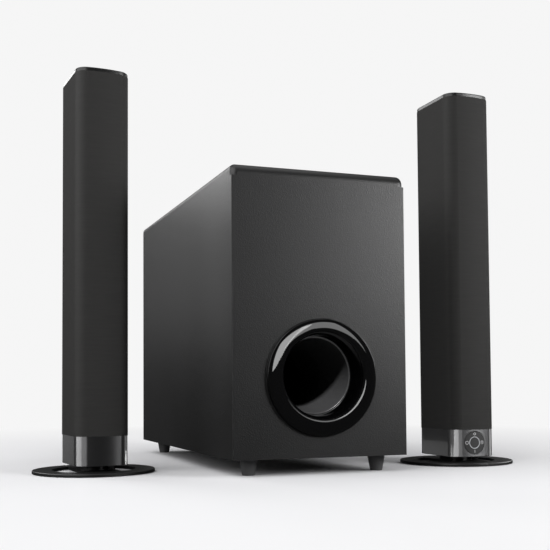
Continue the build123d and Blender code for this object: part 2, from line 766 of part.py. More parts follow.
def make_knob(name, across):
    """Ribbed knob with its shaft through the plate."""
    seat = Plane(origin=PLATE.from_local_coords(Vector(across, KNOB_Z, 0.5)),
                 x_dir=PLATE.x_dir, z_dir=PLATE.z_dir)
    with BuildPart() as knob:
        with BuildSketch(seat):
            Circle(KNOB_R)
            with PolarLocations(KNOB_R + 0.25, 30):
                Circle(0.55, mode=Mode.SUBTRACT)
        extrude(amount=KNOB_H)
        fillet(knob.faces().sort_by(Axis.Y)[-1].outer_wire().edges().sort_by(Edge.length)[-1:], 0.3)
        with BuildSketch(seat.offset(KNOB_H)):
            with Locations((0, KNOB_R - 3.2)):
                RectangleRounded(1.3, 4.2, 0.5)
        extrude(amount=-0.6, mode=Mode.SUBTRACT)
        with BuildSketch(seat):
            Circle(SHAFT_R)
        extrude(amount=-PLATE_T - 6.2)
    save(knob, name)


# ---------------------------------------------------------------- satellite columns

def column_section(inset):
    """Plan of a column: straight sides, rounded corners and a slightly bowed front."""
    depth = COLUMN_BACK - COLUMN_FRONT
    with BuildSketch(mode=Mode.PRIVATE) as section:
        with Locations((0, (COLUMN_BACK + COLUMN_FRONT) / 2)):
            Rectangle(COLUMN_W, depth)
        with Locations((0, COLUMN_FRONT + COLUMN_BOW_R)):
            Circle(COLUMN_BOW_R, mode=Mode.INTERSECT)
        fillet(section.vertices().group_by(Axis.Y)[0], COLUMN_FRONT_R)
        fillet(section.vertices().group_by(Axis.Y)[-1], COLUMN_BACK_R)
        if inset:
            offset(amount=-inset, kind=Kind.INTERSECTION)
    return section.sketch


def prism(base, inset, low, high):
    """Column section, taken in by inset, between two heights."""
    with BuildPart(mode=Mode.PRIVATE) as piece:
        with BuildSketch(base.offset(low)):
            add(column_section(inset))
        extrude(amount=high - low)
    return piece.part


def make_shell(side, base):
    """Column body: a tube with a long front window for the drivers."""
    inner = SHELL_INSET + SHELL_WALL
    with BuildPart() as shell:
        add(prism(base, SHELL_INSET, BAND_TOP, SLEEVE_TOP))
        add(prism(base, inner, BAND_TOP, SLEEVE_TOP), mode=Mode.SUBTRACT)
        with BuildSketch(facing(base, 0, COLUMN_FRONT - 1, (BAFFLE_LOW + BAFFLE_HIGH) / 2)):
            RectangleRounded(WINDOW_W, WINDOW_H, 6)
        extrude(amount=-8, mode=Mode.SUBTRACT)
    save(shell, f"{side}_shell")


def make_grille(side, base):
    """Cloth-covered sleeve that wraps the whole column."""
    with BuildPart() as grille:
        add(prism(base, 0, BAND_TOP, SLEEVE_TOP))
        add(prism(base, SLEEVE_WALL, BAND_TOP, SLEEVE_TOP), mode=Mode.SUBTRACT)
    save(grille, f"{side}_grille")


def make_top_cap(side, base):
    """Top cap with a plug that fits the shell."""
    with BuildPart() as cap:
        add(prism(base, BAND_INSET, SLEEVE_TOP, COLUMN_TOP))
        fillet(cap.faces().sort_by(Axis.Z)[-1].edges(), 1.2)
        add(prism(base, SHELL_INSET + SHELL_WALL + 0.1, SLEEVE_TOP - 5, SLEEVE_TOP))
    save(cap, f"{side}_top_cap")


def make_foot_band(side, base):
    """Smooth lower housing: a cup with a floor, a rebate for the shell and a socket hole."""
    with BuildPart() as band:
        add(prism(base, BAND_INSET, COLUMN_FOOT, BAND_TOP))
        fillet(band.faces().sort_by(Axis.Z)[0].edges(), 0.6)
        add(prism(base, BAND_INSET + BAND_WALL, COLUMN_FOOT + 3, BAND_TOP), mode=Mode.SUBTRACT)
        with BuildSketch(base.offset(COLUMN_FOOT)):
            RectangleRounded(SPIGOT_W + 2 * CLEARANCE, SPIGOT_D + 2 * CLEARANCE, 3)
            with Locations((SCREW_X, SCREW_Y)):
                Circle(2.05)
        extrude(amount=3, mode=Mode.SUBTRACT)
        with BuildSketch(looking_back(base, 0, COLUMN_BACK + 1, SOCKET_Z)):
            Circle(SOCKET_R)
        extrude(amount=-8, mode=Mode.SUBTRACT)
        if side == "right":
            with BuildSketch(facing(base, PAD_X, COLUMN_FRONT - 1, PAD_Z)):
                Circle(PAD_R + PAD_GAP)
            extrude(amount=-8, mode=Mode.SUBTRACT)
    save(band, f"{side}_foot_band")


def make_baffle(side, base):
    """Driver baffle, a slice of the shell's inner section with three driver holes."""
    inner = SHELL_INSET + SHELL_WALL + 0.1
    with BuildPart() as baffle:
        add(prism(base, inner, BAFFLE_LOW, BAFFLE_HIGH))
        with BuildSketch(base.offset(BAFFLE_LOW)):
            with Locations((0, DRIVER_PLANE + COLUMN_W)):
                Rectangle(2 * COLUMN_W, 2 * COLUMN_W)
        extrude(amount=BAFFLE_HIGH - BAFFLE_LOW, mode=Mode.SUBTRACT)
        for height in DRIVER_HEIGHTS:
            with BuildSketch(facing(base, 0, COLUMN_FRONT, height)):
                Circle(DRIVER_HOLE_R)
            extrude(amount=-12, mode=Mode.SUBTRACT)
    save(baffle, f"{side}_baffle")


def driver_seats(base):
    """Planes of the drivers' flanges, behind the baffle."""
    return [facing(base, 0, DRIVER_PLANE, height) for height in DRIVER_HEIGHTS]


def make_driver_frames(side, base):
    """Three small full-range driver frames, each with its magnet and coil gap."""
    flange = -2
    magnet_top = -14
    magnet_rear = -24
    magnet_r = 14
    gap = (6, 7.8)
    with BuildPart() as frames:
        for seat in driver_seats(base):
            add(turned(seat, (DRIVER_R, 0), (DRIVER_R, flange), (DRIVER_HOLE_R + 1.9, flange),
                       (magnet_r - 1, magnet_top), (magnet_r, magnet_top), (magnet_r, magnet_rear),
                       (0, magnet_rear), (0, magnet_top + 1), (gap[0], magnet_top + 1),
                       (gap[0], magnet_rear + 3), (gap[1], magnet_rear + 3),
                       (gap[1], magnet_top + 1), (11.6, magnet_top + 1),
                       (DRIVER_HOLE_R, flange), (DRIVER_HOLE_R, 0)))
    save(frames, f"{side}_driver_frames")


def make_driver_cones(side, base):
    """Three cones, each with a dome and a coil former."""
    with BuildPart() as cones:
        for seat in driver_seats(base):
            add(turned(seat, (DRIVER_CONE_R, -0.9), (DRIVER_CONE_R, -0.2),
                       (DRIVER_CONE_R - 0.8, -0.2), (7.4, -5), (6.2, -3.8),
                       (4, -2.6), (0, -2), (0, -2.8), (3.8, -3.4), (5.8, -4.6), (6.5, -5.8),
                       (6.5, -18), (7.3, -18), (7.3, -6), (11.4, -0.9)))
    save(cones, f"{side}_driver_cones")


def make_driver_surrounds(side, base):
    """Half-roll surrounds of the three drivers."""
    roll = 1.8
    middle = DRIVER_CONE_R + roll - 0.1
    with BuildPart() as surrounds:
        for seat in driver_seats(base):
            with BuildSketch(turning(seat)):
                with Locations((middle, 0)):
                    Circle(roll)
                    Circle(roll - 0.6, mode=Mode.SUBTRACT)
                    with Locations((0, -2)):
                        Rectangle(6, 4, mode=Mode.SUBTRACT)
                with Locations((middle + 2, 0.2)):
                    Rectangle(0.5, 0.4)
            revolve(axis=Axis(seat.origin, seat.z_dir))
    save(surrounds, f"{side}_driver_surrounds")


def make_input_socket(side, base):
    """Round signal socket in the back of the foot band."""
    seat = looking_back(base, 0, COLUMN_BACK - BAND_INSET, SOCKET_Z)
    barrel_r = SOCKET_R - 0.1
    rim_r = SOCKET_R + 1.4
    with BuildPart() as socket:
        add(turned(seat, (PHONO_BORE_R, 1.2), (rim_r - 0.6, 1.2), (rim_r, 0.8), (rim_r, 0),
                   (barrel_r, 0), (barrel_r, -9), (PHONO_BORE_R, -9)))
    save(socket, f"{side}_input_socket")


# ---------------------------------------------------------------- ring stands

def make_ring_stand(side, base):
    """Flat ring with a bridge across its hole, on the floor under the column."""
    with BuildPart() as ring:
        with BuildSketch(base.offset(PAD_H)):
            Circle(RING_R)
            Circle(RING_HOLE_R, mode=Mode.SUBTRACT)
            Rectangle(BRIDGE_W, 2 * RING_HOLE_R + 8)
        extrude(amount=RING_TOP - PAD_H)
        rim = ring.edges().filter_by(GeomType.CIRCLE).filter_by(lambda e: e.radius > RING_R - 1)
        fillet(rim.group_by(Axis.Z)[-1], 0.9)
    save(ring, f"{side}_ring_stand")


def make_stand_hub(side, base):
    """Hub on the bridge, with a flat spigot that the column drops over."""
    with BuildPart() as hub:
        with BuildSketch(base.offset(RING_TOP)):
            Circle(HUB_R)
        extrude(amount=HUB_TOP - RING_TOP)
        fillet(hub.edges().filter_by(GeomType.CIRCLE).group_by(Axis.Z)[-1], 0.6)
        with BuildSketch(base.offset(HUB_TOP)):
            RectangleRounded(SPIGOT_W, SPIGOT_D, 2.7)
        extrude(amount=SPIGOT_TOP - HUB_TOP)
        chamfer(hub.faces().sort_by(Axis.Z)[-1].edges(), 1)
    save(hub, f"{side}_stand_hub")


def make_thumb_screw(side, base):
    """Knurled screw beside the hub that steadies the column on the bridge."""
    with BuildPart() as screw:
        with BuildSketch(base.offset(RING_TOP + 0.4)):
            with Locations((SCREW_X, SCREW_Y)):
                Circle(SCREW_HEAD_R)
                with PolarLocations(SCREW_HEAD_R + 0.15, 16):
                    Circle(0.4, mode=Mode.SUBTRACT)
        extrude(amount=COLUMN_FOOT - RING_TOP - 0.8)
        with BuildSketch(base.offset(COLUMN_FOOT - 0.5)):
            with Locations((SCREW_X, SCREW_Y)):
                Circle(2.0)
        extrude(amount=9)
    save(screw, f"{side}_thumb_screw")


def make_stand_pads():
    """Thin rubber pads under both rings."""
    with BuildPart() as pads:
        for base in COLUMNS.values():
            with BuildSketch(base):
                with PolarLocations((RING_R + RING_HOLE_R) / 2, 4, start_angle=45):
                    Circle(6)
            extrude(amount=PAD_H)
    save(pads, "stand_pads")


# ---------------------------------------------------------------- control pad

def pad_plane(depth=0.0):
    """Plane of the control pad, depth behind the right column's front."""
    return facing(COLUMNS["right"], PAD_X, COLUMN_FRONT + BAND_INSET + depth, PAD_Z)


def pad_slice(outer, inner):
    """Round slice of the foot band's front, so its face follows the bowed front."""
    base = COLUMNS["right"]
    with BuildPart(mode=Mode.PRIVATE) as piece:
        add(prism(base, BAND_INSET, COLUMN_FOOT, BAND_TOP))
        with BuildSketch(pad_plane(PAD_T)):
            Circle(outer)
            if inner:
                Circle(inner, mode=Mode.SUBTRACT)
        extrude(amount=PAD_T + 1, mode=Mode.INTERSECT)
    return piece.part


def gimbal_axis(direction, up):
    """Plane through the pad's tilting centre; its normal is one of the two tilt axes."""
    return Plane(origin=pad_plane(GIMBAL_DEPTH).origin, x_dir=up, z_dir=direction)


SIDEWAYS = gimbal_axis(COLUMNS["right"].x_dir, (0, 0, 1))
UPRIGHT = gimbal_axis((0, 0, 1), COLUMNS["right"].x_dir)


def pins(axis_plane, start, length):
    """Two pins on a tilt axis, one each way from the centre."""
    with BuildPart(mode=Mode.PRIVATE) as pair:
        for sign in (-1, 1):
            with BuildSketch(axis_plane.offset(sign * start)):
                Circle(GIMBAL_PIN_R)
            extrude(amount=sign * length)
    return pair.part


def make_control_pad():
    """Four-way pad: a disc flush with the front, with a rear sleeve and two trunnions."""
    with BuildPart() as pad:
        add(pad_slice(PAD_R, LIGHT_RING_R + 0.1))
        with BuildSketch(pad_plane(PAD_T + 3.4)):
            Circle(8.2)
            Circle(7.2, mode=Mode.SUBTRACT)
        extrude(amount=3.4)
        add(pins(SIDEWAYS, 7.8, 2.0))
    save(pad, "control_pad")


def make_light_ring():
    """Translucent ring between the pad and its centre button."""
    with BuildPart() as ring:
        add(pad_slice(LIGHT_RING_R, BUTTON_R + CLEARANCE))
    save(ring, "light_ring")


def make_centre_button():
    """Round button in the middle of the pad, with a stem towards its switch."""
    stem = 4.6
    with BuildPart() as button:
        add(pad_slice(BUTTON_R, 0))
        with BuildSketch(pad_plane(PAD_T + stem)):
            Circle(3.0)
        extrude(amount=stem)
    save(button, "centre_button")


def make_control_gimbal():
    """Ring between the pad and its housing, with pins above and below and holes at its sides."""
    ring_t = 2.4
    with BuildPart() as gimbal:
        with BuildSketch(pad_plane(GIMBAL_DEPTH + 1.4)):
            Circle(GIMBAL_R)
            Circle(GIMBAL_R - 1.4, mode=Mode.SUBTRACT)
        extrude(amount=ring_t)
        add(pins(UPRIGHT, GIMBAL_R - 0.4, 1.4))
        with BuildSketch(SIDEWAYS.offset(-GIMBAL_HOLE_SPAN)):
            Circle(GIMBAL_HOLE_R)
        extrude(amount=2 * GIMBAL_HOLE_SPAN, mode=Mode.SUBTRACT)
    save(gimbal, "control_gimbal")


def make_control_housing():
    """Fixed ring behind the band's window that carries the gimbal's pins."""
    with BuildPart() as housing:
        with BuildSketch(pad_plane(CONTROL_BOARD_DEPTH - BOARD_T)):
            Circle(GIMBAL_R + 1.2)
            Circle(GIMBAL_R + CLEARANCE, mode=Mode.SUBTRACT)
        extrude(amount=5.6)
        with BuildSketch(UPRIGHT.offset(-GIMBAL_HOLE_SPAN)):
            Circle(GIMBAL_HOLE_R)
        extrude(amount=2 * GIMBAL_HOLE_SPAN, mode=Mode.SUBTRACT)
    save(housing, "control_housing")


def make_control_board():
    """Small circuit board behind the pad, with the centre button's switch."""
    with BuildPart() as board:
        with BuildSketch(pad_plane(CONTROL_BOARD_DEPTH)):
            Rectangle(40, 22)
        extrude(amount=BOARD_T)
        with BuildSketch(pad_plane(CONTROL_BOARD_DEPTH - BOARD_T)):
            Rectangle(5, 5)
        extrude(amount=0.8)
    save(board, "control_board")


# ---------------------------------------------------------------- build everything

make_cabinet_top()
make_cabinet_bottom()
make_cabinet_left()
make_cabinet_right()
make_front_baffle()
make_rear_board()
make_port_flare()
make_port_tube()
make_cabinet_feet()
make_foot_screws()
make_woofer_frame()
make_woofer_magnet()
make_woofer_cone()
make_woofer_dust_cap()
make_woofer_voice_coil()
make_woofer_surround()
make_woofer_spider()
make_woofer_screws()
make_amp_plate()
make_plate_screws()
make_amp_board()
make_amp_heatsink()
make_amp_transformer()
make_audio_sockets()
make_mains_inlet()
make_power_rocker()
make_knob("volume_knob", -KNOB_X)
make_knob("bass_knob", KNOB_X)

for column_side, column_plane in COLUMNS.items():
    make_shell(column_side, column_plane)
    make_grille(column_side, column_plane)
    make_top_cap(column_side, column_plane)
    make_foot_band(column_side, column_plane)
    make_baffle(column_side, column_plane)
    make_driver_frames(column_side, column_plane)
    make_driver_cones(column_side, column_plane)
    make_driver_surrounds(column_side, column_plane)
    make_input_socket(column_side, column_plane)
    make_ring_stand(column_side, column_plane)
    make_stand_hub(column_side, column_plane)
    make_thumb_screw(column_side, column_plane)

make_stand_pads()
make_control_pad()
make_light_ring()
make_centre_button()
make_control_gimbal()
make_control_housing()
make_control_board()
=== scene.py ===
"""Looks of the desktop speaker set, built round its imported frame.

Units are metres. +Z is up, the fronts face -Y and +X is the listener's right.
"""
import json
import math

import bpy
from mathutils import Matrix, Vector

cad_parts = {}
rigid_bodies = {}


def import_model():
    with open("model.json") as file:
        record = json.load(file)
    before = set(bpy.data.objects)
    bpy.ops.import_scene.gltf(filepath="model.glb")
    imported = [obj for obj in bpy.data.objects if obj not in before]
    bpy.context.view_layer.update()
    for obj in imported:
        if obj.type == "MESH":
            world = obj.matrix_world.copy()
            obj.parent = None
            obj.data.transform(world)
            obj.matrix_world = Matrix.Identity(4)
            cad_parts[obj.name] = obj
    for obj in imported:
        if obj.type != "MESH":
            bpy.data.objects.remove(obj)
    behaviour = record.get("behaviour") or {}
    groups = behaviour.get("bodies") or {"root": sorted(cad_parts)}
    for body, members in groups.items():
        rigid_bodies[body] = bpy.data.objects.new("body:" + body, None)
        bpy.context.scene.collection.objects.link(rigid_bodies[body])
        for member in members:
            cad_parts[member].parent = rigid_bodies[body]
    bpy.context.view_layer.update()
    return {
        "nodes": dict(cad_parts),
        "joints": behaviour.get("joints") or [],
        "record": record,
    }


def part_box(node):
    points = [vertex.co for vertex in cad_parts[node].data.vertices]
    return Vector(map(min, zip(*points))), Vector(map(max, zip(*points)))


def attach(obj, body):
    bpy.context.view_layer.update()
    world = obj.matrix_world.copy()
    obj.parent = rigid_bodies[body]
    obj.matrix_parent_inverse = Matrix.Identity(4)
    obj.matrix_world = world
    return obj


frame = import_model()
MM = 0.001
BASE = "subwoofer"             # the body that stands still


# ---------------------------------------------------------------- places read from the frame

def centre(node):
    """Middle of a node's box."""
    low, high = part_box(node)
    return (low + high) / 2


def joint(name):
    """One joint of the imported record."""
    return next(j for j in frame["joints"] if j["name"] == name)


class Column:
    """Where a satellite column stands: its axis on the floor and its turned directions."""

    def __init__(self, side):
        hub = centre(f"{side}_stand_hub")
        self.foot = Vector((hub.x, hub.y, 0))
        self.front = Vector(joint(f"{side}_driver_excursion")["axis"]).normalized()
        self.right = self.front.cross(Vector((0, 0, 1))) * -1

    def at(self, across, back, height):
        """A place from the column's own coordinates, in metres."""
        return self.foot + self.right * across - self.front * back + Vector((0, 0, height))


COLUMNS = {side: Column(side) for side in ("left", "right")}


# ---------------------------------------------------------------- mesh helpers

def mesh_object(name, verts, faces, sharp=35):
    """A mesh object with smooth shading, and creases where faces meet at more than sharp."""
    data = bpy.data.meshes.new(name)
    data.from_pydata([tuple(v) for v in verts], [], faces)
    data.update()
    data.shade_smooth()
    data.set_sharp_from_angle(angle=math.radians(sharp))
    piece = bpy.data.objects.new(name, data)
    bpy.context.scene.collection.objects.link(piece)
    return piece


def turned_ring(name, outline, origin, axis, steps=48):
    """Turn a closed outline of (radius, height) points, in metres, about an axis."""
    axis = Vector(axis).normalized()
    first = axis.orthogonal().normalized()
    second = axis.cross(first)
    verts = []
    for radius, height in outline:
        for i in range(steps):
            a = 2 * math.pi * i / steps
            verts.append(Vector(origin) + axis * height
                         + (first * math.cos(a) + second * math.sin(a)) * radius)
    faces = []
    for k in range(len(outline)):
        n = (k + 1) % len(outline)
        for i in range(steps):
            j = (i + 1) % steps
            faces.append((k * steps + i, k * steps + j, n * steps + j, n * steps + i))
    return mesh_object(name, verts, faces)


# ---------------------------------------------------------------- node helpers

class Shader:
    """A new node material with a Principled shader, and short ways to add nodes to it."""

    def __init__(self, name, **values):
        self.material = bpy.data.materials.new(name)
        self.material.use_nodes = True
        self.tree = self.material.node_tree
        self.surface = self.tree.nodes["Principled BSDF"]
        for key, value in values.items():
            self.surface.inputs[key.replace("_", " ")].default_value = value

    def node(self, kind, **settings):
        made = self.tree.nodes.new("ShaderNode" + kind)
        for key, value in settings.items():
            setattr(made, key, value)
        return made

    def link(self, output, target):
        self.tree.links.new(output, target)

    def coordinates(self):
        return self.node("TexCoord").outputs["Object"]

    def noise(self, vector, scale, detail=3.0, roughness=0.55):
        made = self.node("TexNoise")
        made.inputs["Scale"].default_value = scale
        made.inputs["Detail"].default_value = detail
        made.inputs["Roughness"].default_value = roughness
        self.link(vector, made.inputs["Vector"])
        return made.outputs["Fac"]

    def voronoi(self, vector, scale):
        made = self.node("TexVoronoi")
        made.inputs["Scale"].default_value = scale
        self.link(vector, made.inputs["Vector"])
        return made.outputs["Distance"]

    def stretched(self, vector, x, y, z):
        made = self.node("Mapping")
        made.inputs["Scale"].default_value = (x, y, z)
        self.link(vector, made.inputs["Vector"])
        return made.outputs["Vector"]

    def math(self, operation, a, b=None):
        made = self.node("Math", operation=operation)
        for socket, value in zip(made.inputs, (a, b)):
            if value is None:
                continue
            if isinstance(value, (int, float)):
                socket.default_value = value
            else:
                self.link(value, socket)
        return made.outputs[0]

    def ramp(self, factor, low, high, start=0.0, end=1.0):
        """Colour between two stops."""
        made = self.node("ValToRGB")
        stops = made.color_ramp.elements
        stops[0].position, stops[1].position = start, end
        stops[0].color, stops[1].color = (*low, 1), (*high, 1)
        self.link(factor, made.inputs["Fac"])
        return made.outputs["Color"]

    def spread(self, factor, low, high, start=0.0, end=1.0):
        """A number between low and high."""
        made = self.node("MapRange")
        made.inputs["From Min"].default_value = start
        made.inputs["From Max"].default_value = end
        made.inputs["To Min"].default_value = low
        made.inputs["To Max"].default_value = high
        self.link(factor, made.inputs["Value"])
        return made.outputs["Result"]

    def bump(self, height, distance, strength=1.0):
        made = self.node("Bump")
        made.inputs["Strength"].default_value = strength
        made.inputs["Distance"].default_value = distance
        self.link(height, made.inputs["Height"])
        self.link(made.outputs["Normal"], self.surface.inputs["Normal"])

    def colour(self, output):
        self.link(output, self.surface.inputs["Base Color"])

    def roughness(self, output):
        self.link(output, self.surface.inputs["Roughness"])


def grey(value):
    """A grey with a trace of blue."""
    return (value, value, value * 1.02)


# ---------------------------------------------------------------- materials

def vinyl():
    """Black vinyl wrap with a fine leathery grain."""
    s = Shader("vinyl_wrap")
    place = s.coordinates()
    cells = s.voronoi(place, 750)
    fine = s.noise(place, 3200, 2)
    broad = s.noise(place, 9, 3)
    height = s.math("ADD", cells, s.math("MULTIPLY", fine, 0.5))
    s.colour(s.ramp(broad, grey(0.010), grey(0.014), 0.3, 0.7))
    s.roughness(s.spread(fine, 0.33, 0.41, 0.3, 0.7))
    s.bump(height, 0.00012, 0.6)
    return s.material


def gloss_black():
    """Polished black moulding with a trace of haze."""
    s = Shader("gloss_black", Base_Color=(0.002, 0.002, 0.0022, 1), Coat_Weight=1.0,
               Coat_Roughness=0.02)
    haze = s.noise(s.coordinates(), 60, 4)
    s.roughness(s.spread(haze, 0.03, 0.05, 0.3, 0.7))
    return s.material


def moulded(name, shade=0.022, rough=0.42, grain=2200):
    """Moulded plastic with a fine spark-eroded texture."""
    s = Shader(name)
    place = s.coordinates()
    fine = s.noise(place, grain, 2)
    s.colour(s.ramp(s.noise(place, 25, 3), grey(shade * 0.9), grey(shade * 1.1), 0.3, 0.7))
    s.roughness(s.spread(fine, rough - 0.05, rough + 0.06, 0.3, 0.7))
    s.bump(fine, 0.00003, 0.5)
    return s.material


def satin_band():
    """Dark metallic lacquer of the foot bands, satin with faint orange peel."""
    s = Shader("satin_band", Metallic=0.9, Anisotropic=0.85, Anisotropic_Rotation=0.25,
               Coat_Weight=0.3, Coat_Roughness=0.08)
    place = s.coordinates()
    s.colour(s.ramp(s.noise(place, 40, 3), grey(0.080), grey(0.088), 0.3, 0.7))
    s.roughness(s.spread(s.noise(place, 500, 3), 0.34, 0.40, 0.3, 0.7))
    s.bump(s.noise(place, 160, 2), 0.00001, 0.2)
    return s.material


def grille_cloth():
    """Charcoal woven cloth: fine horizontal threads with a soft satin sheen."""
    s = Shader("grille_cloth", Specular_IOR_Level=0.27)
    place = s.coordinates()
    rows = s.node("TexWave", wave_type="BANDS", bands_direction="Z")
    rows.inputs["Scale"].default_value = 420
    rows.inputs["Distortion"].default_value = 0.8
    rows.inputs["Detail Scale"].default_value = 4
    s.link(place, rows.inputs["Vector"])
    threads = rows.outputs["Fac"]
    slub = s.noise(s.stretched(place, 40, 40, 700), 1, 3)
    speck = s.noise(place, 2400, 2)
    height = s.math("ADD", threads, s.math("MULTIPLY", speck, 0.6))
    shade = s.math("MULTIPLY", s.math("ADD", threads, slub), 0.5)
    s.colour(s.ramp(shade, (0.013, 0.0126, 0.0122), (0.024, 0.0235, 0.0225), 0.25, 0.8))
    s.roughness(s.spread(speck, 0.62, 0.74))
    s.bump(height, 0.00012, 0.45)
    return s.material


def metal(name, shade, rough, metallic=1.0):
    """Bare or plated metal with faint handling marks."""
    s = Shader(name, Metallic=metallic)
    place = s.coordinates()
    s.colour(s.ramp(s.noise(place, 90, 4), shade, [c * 1.15 for c in shade], 0.3, 0.7))
    s.roughness(s.spread(s.noise(place, 700, 3), rough - 0.06, rough + 0.08, 0.3, 0.7))
    return s.material


def powder_coat():
    """Satin black coat of the ring stands."""
    s = Shader("powder_coat")
    place = s.coordinates()
    fine = s.noise(place, 2600, 2)
    s.colour(s.ramp(s.noise(place, 30, 3), grey(0.012), grey(0.016), 0.3, 0.7))
    s.roughness(s.spread(fine, 0.26, 0.38, 0.3, 0.7))
    s.bump(fine, 0.00002, 0.4)
    return s.material


def rubber():
    """Matt rubber with a slight bloom."""
    s = Shader("rubber")
    place = s.coordinates()
    s.colour(s.ramp(s.noise(place, 50, 4), grey(0.014), grey(0.022), 0.3, 0.7))
    s.roughness(s.spread(s.noise(place, 900, 2), 0.5, 0.66, 0.3, 0.7))
    return s.material


def pulp_cone():
    """Pressed paper cone with fibres."""
    s = Shader("pulp_cone")
    place = s.coordinates()
    fibres = s.noise(s.stretched(place, 1, 3, 1), 700, 5, 0.7)
    s.colour(s.ramp(fibres, grey(0.02), grey(0.045), 0.3, 0.75))
    s.roughness(s.spread(fibres, 0.6, 0.85))
    s.bump(fibres, 0.0001, 0.5)
    return s.material


def ferrite():
    """Sintered ferrite magnet."""
    s = Shader("ferrite")
    place = s.coordinates()
    s.colour(s.ramp(s.noise(place, 400, 3), grey(0.06), grey(0.1), 0.3, 0.7))
    s.roughness(s.spread(s.noise(place, 150, 2), 0.55, 0.7))
    return s.material


def circuit_board():
    """Green solder mask with darker tracks."""
    s = Shader("circuit_board")
    place = s.coordinates()
    tracks = s.voronoi(place, 240)
    s.colour(s.ramp(tracks, (0.008, 0.07, 0.02), (0.02, 0.13, 0.045), 0.2, 0.5))
    s.roughness(s.spread(s.noise(place, 60, 2), 0.3, 0.45))
    return s.material


def light_ring():
    """Frosted ring that carries the light."""
    s = Shader("light_ring", Base_Color=(0.36, 0.37, 0.38, 1), Emission_Strength=0.10,
               Emission_Color=(0.9, 0.93, 1.0, 1))
    s.roughness(s.spread(s.noise(s.coordinates(), 900, 2), 0.35, 0.5))
    return s.material


def card_tube():
    """Black card tube of the port."""
    s = Shader("card_tube")
    place = s.coordinates()
    fibres = s.noise(place, 500, 4)
    s.colour(s.ramp(fibres, grey(0.035), grey(0.050), 0.3, 0.7))
    s.roughness(s.spread(fibres, 0.25, 0.4))
    return s.material


def flat_paint(name, shade, rough):
    """Ink or coloured plastic with a slight unevenness."""
    s = Shader(name)
    place = s.coordinates()
    darker = [c * 0.86 for c in shade]
    s.colour(s.ramp(s.noise(place, 300, 4), darker, shade, 0.3, 0.7))
    s.roughness(s.spread(s.noise(place, 900, 2), rough - 0.06, rough + 0.08, 0.3, 0.7))
    return s.material


MATERIALS = {
    "cabinet": vinyl(),
    "gloss": gloss_black(),
    "tube": card_tube(),
    "feet": moulded("foot_plastic", 0.09, 0.28),
    "screws": metal("black_steel", (0.06, 0.06, 0.063), 0.35),
    "frame": moulded("frame_paint", 0.02, 0.38),
    "magnet": ferrite(),
    "cone": pulp_cone(),
    "rubber": rubber(),
    "coil": metal("copper", (0.55, 0.28, 0.13), 0.3),
    "plate": moulded("plate_paint", 0.02, 0.5, 1200),
    "board": circuit_board(),
    "heatsink": metal("black_anodised", (0.025, 0.025, 0.027), 0.38, 0.7),
    "transformer": metal("laminations", (0.3, 0.29, 0.28), 0.45),
    "plastic": moulded("black_plastic", 0.02, 0.42),
    "band": satin_band(),
    "cap": moulded("cap_plastic", 0.010, 0.3),
    "cloth": grille_cloth(),
    "stand": powder_coat(),
    "light": light_ring(),
    "marks": flat_paint("pad_ink", grey(0.50), 0.45),
    "print": flat_paint("plate_ink", grey(0.62), 0.5),
    "red": flat_paint("red_moulding", (0.42, 0.012, 0.012), 0.35),
    "white": flat_paint("white_moulding", grey(0.62), 0.35),
    "nickel": metal("nickel", (0.62, 0.60, 0.56), 0.22),
    "thread": flat_paint("black_thread", grey(0.012), 0.6),
}


def dress_nodes():
    """Give every CAD node the material of its slot."""
    for part in frame["record"]["subparts"]:
        node = part["node"]
        finish_name = "cap" if node.endswith("top_cap") else part["material_slot"]
        if node in ("control_pad", "centre_button"):
            finish_name = "plastic"
        skin = frame["nodes"][node].data
        skin.materials.clear()
        skin.materials.append(MATERIALS[finish_name])


# ---------------------------------------------------------------- marks and small pieces

PROBE = 0.03                   # how far in front of a face its surface is felt for


class Face:
    """A CAD node's surface to lay thin marks on, with its own across and up in metres."""

    def __init__(self, node, middle, across, outward):
        self.skin = frame["nodes"][node]
        self.middle, self.across, self.outward = Vector(middle), Vector(across), Vector(outward)
        self.up = self.outward.cross(self.across)

    def on(self, x, y):
        """The surface's own point below (x, y)."""
        flat = self.middle + self.across * x + self.up * y
        hit, point, _, _ = self.skin.ray_cast(flat + self.outward * PROBE, -self.outward)
        return point if hit else flat


def polygon(middle, radius, corners, turn=0.0, squeeze=1.0):
    """Corners of a regular outline; squeeze narrows its height."""
    angles = [math.radians(turn) + 2 * math.pi * k / corners for k in range(corners)]
    return [(middle[0] + radius * math.cos(a), middle[1] + radius * squeeze * math.sin(a))
            for a in angles]


def bar(start, end, width):
    """A straight stroke as a four-cornered outline."""
    along = Vector((end[0] - start[0], end[1] - start[1])).normalized() * width / 2
    side = Vector((-along.y, along.x))
    return [(start[0] + side.x, start[1] + side.y), (start[0] - side.x, start[1] - side.y),
            (end[0] - side.x, end[1] - side.y), (end[0] + side.x, end[1] + side.y)]


def outline_strokes(corners, width):
    """Strokes along a closed outline."""
    return [bar(corners[k - 1], corners[k], width) for k in range(len(corners))]


def marks(name, face, shapes, height=0.08 * MM, sunk=0.05 * MM):
    """Raised marks: each shape is a small prism that follows the face below it."""
    verts, faces = [], []
    for shape in shapes:
        base, n = len(verts), len(shape)
        feet = [face.on(x, y) for x, y in shape]
        verts += [p - face.outward * sunk for p in feet]
        verts += [p + face.outward * height for p in feet]
        faces.append(tuple(base + k for k in reversed(range(n))))
        faces.append(tuple(base + n + k for k in range(n)))
        faces += [(base + k, base + (k + 1) % n, base + n + (k + 1) % n, base + n + k)
                  for k in range(n)]
    return mesh_object(name, verts, faces, 20)


def finish(piece, body, material):
    """Give a new piece its material and the body it moves with."""
    piece.data.materials.append(material)
    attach(piece, body)


